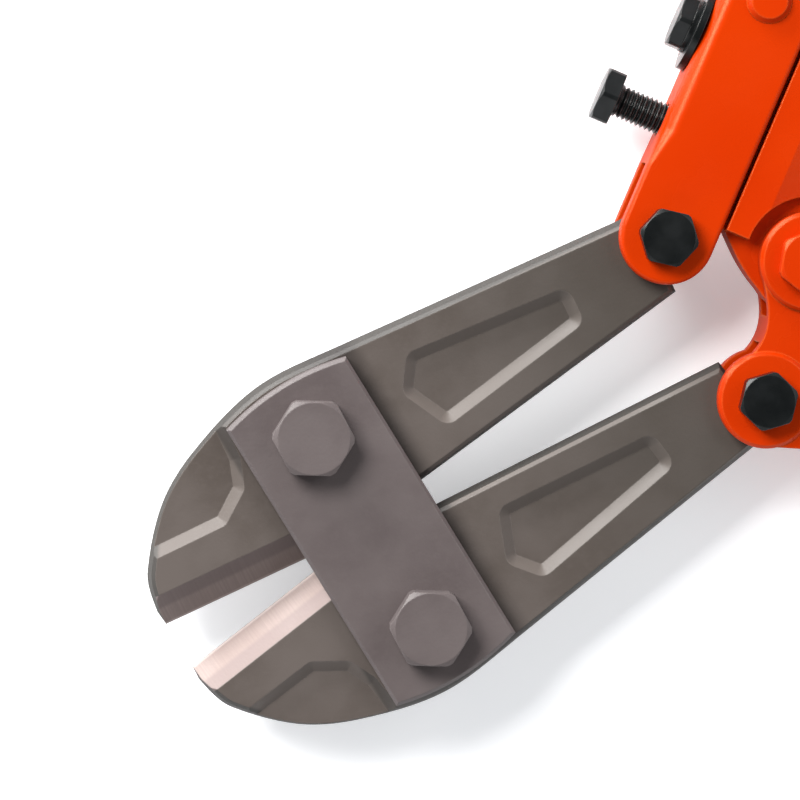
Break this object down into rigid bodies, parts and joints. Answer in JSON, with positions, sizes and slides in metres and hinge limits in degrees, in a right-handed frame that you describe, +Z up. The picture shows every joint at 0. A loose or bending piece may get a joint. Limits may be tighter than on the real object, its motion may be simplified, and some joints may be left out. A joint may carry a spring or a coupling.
{
  "type": "bolt cutters",
  "caption": "Heavy bolt cutters with compound-hinged jaws between centre plates, an adjusting strap and long tubular handles with rubber grips.",
  "frame": {"origin": "bottom centre of the whole object, lying flat with its jaws part open; the bolt ends and the grips touch z = 0", "axes": "+Z up through the thickness of the tool, -X towards the blades, +X towards the grips, +Y towards the handle with the adjusting strap"},
  "size_m": [0.7926, 0.8816, 0.0458],
  "materials": {
    "jaw_steel": "dark grey coated forging, satin, with a bright ground cutting bevel",
    "plate_steel": "dark warm grey coating, satin, lighter along worn edges",
    "orange_paint": "orange-red gloss paint",
    "black_steel": "black oxide, semi-gloss",
    "bright_steel": "plain bright steel",
    "bronze": "oiled sintered bronze",
    "grip_rubber": "matte black rubber with moulded ribs",
    "plug_plastic": "matte black plastic"
  },
  "bodies": {
    "centre_plates": {"front_centre_plate": "plate_steel", "rear_centre_plate": "plate_steel", "jaw_bolts": "plate_steel", "jaw_bolt_nuts": "plate_steel"},
    "upper_jaw": {"upper_jaw": "jaw_steel", "upper_jaw_bush": "bronze", "upper_tail_bush": "bronze"},
    "lower_jaw": {"lower_jaw": "jaw_steel", "lower_jaw_bush": "bronze", "lower_tail_bush": "bronze"},
    "adjusting_strap": {"adjusting_strap": "orange_paint", "upper_tail_bolt": "black_steel", "upper_tail_nut": "black_steel", "strap_pivot_rivet": "orange_paint"},
    "upper_handle": {"upper_handle_casting": "orange_paint", "upper_tube": "orange_paint", "upper_tube_rivets": "bright_steel", "upper_grip": "grip_rubber", "upper_tube_plug": "plug_plastic"},
    "lower_handle": {"lower_handle_casting": "orange_paint", "fulcrum_bolt": "orange_paint", "fulcrum_bush": "bronze", "fulcrum_washer": "bright_steel", "fulcrum_nut": "black_steel", "lower_tail_bolt": "black_steel", "lower_tail_nut": "black_steel", "lower_tube": "orange_paint", "lower_tube_rivets": "bright_steel", "lower_grip": "grip_rubber", "lower_tube_plug": "plug_plastic"},
    "adjusting_screw": {"adjusting_screw": "black_steel"},
    "lock_bolt": {"lock_bolt": "black_steel", "lock_washer": "black_steel", "lock_spring_washer": "black_steel"}
  },
  "joints": [
    {"name": "upper_jaw_pivot", "type": "hinge", "parent": "centre_plates", "child": "upper_jaw", "pos_m": [-0.32857, 0.0335, 0.0225], "axis": [0, 0, 1], "range_deg": [-1, 6.5]},
    {"name": "lower_jaw_pivot", "type": "hinge", "parent": "centre_plates", "child": "lower_jaw", "pos_m": [-0.32857, -0.0335, 0.0225], "axis": [0, 0, 1], "range_deg": [-6.5, 1]},
    {"name": "upper_tail_pivot", "type": "hinge", "parent": "upper_jaw", "child": "adjusting_strap", "pos_m": [-0.20666, 0.02875, 0.0225], "axis": [0, 0, 1], "range_deg": [-38.3, 5.9]},
    {"name": "strap_adjust", "type": "hinge", "parent": "adjusting_strap", "child": "upper_handle", "pos_m": [-0.14382, 0.07325, 0.0225], "axis": [0, 0, 1], "range_deg": [-0.46, 0.46]},
    {"name": "lower_tail_pivot", "type": "hinge", "parent": "lower_jaw", "child": "lower_handle", "pos_m": [-0.20666, -0.02875, 0.0225], "axis": [0, 0, 1], "range_deg": [-5.9, 38.3]},
    {"name": "adjusting_screw_turn", "type": "hinge", "parent": "upper_handle", "child": "adjusting_screw", "pos_m": [-0.18865, 0.05903, 0.0225], "axis": [-0.5779, 0.8161, 0], "range_deg": [-90, 90]},
    {"name": "lock_bolt_turn", "type": "hinge", "parent": "upper_handle", "child": "lock_bolt", "pos_m": [-0.16473, 0.07596, 0.0225], "axis": [-0.5779, 0.8161, 0], "range_deg": [-90, 90]}
  ],
  "couplings": [
    {"joint": "lower_jaw_pivot", "follows": "upper_jaw_pivot", "ratio": -1},
    {"joint": "upper_tail_pivot", "follows": "upper_jaw_pivot", "ratio": -5.89},
    {"joint": "lower_tail_pivot", "follows": "upper_jaw_pivot", "ratio": 5.89},
    {"joint": "adjusting_screw_turn", "follows": "strap_adjust", "ratio": -187.66}
  ]
}
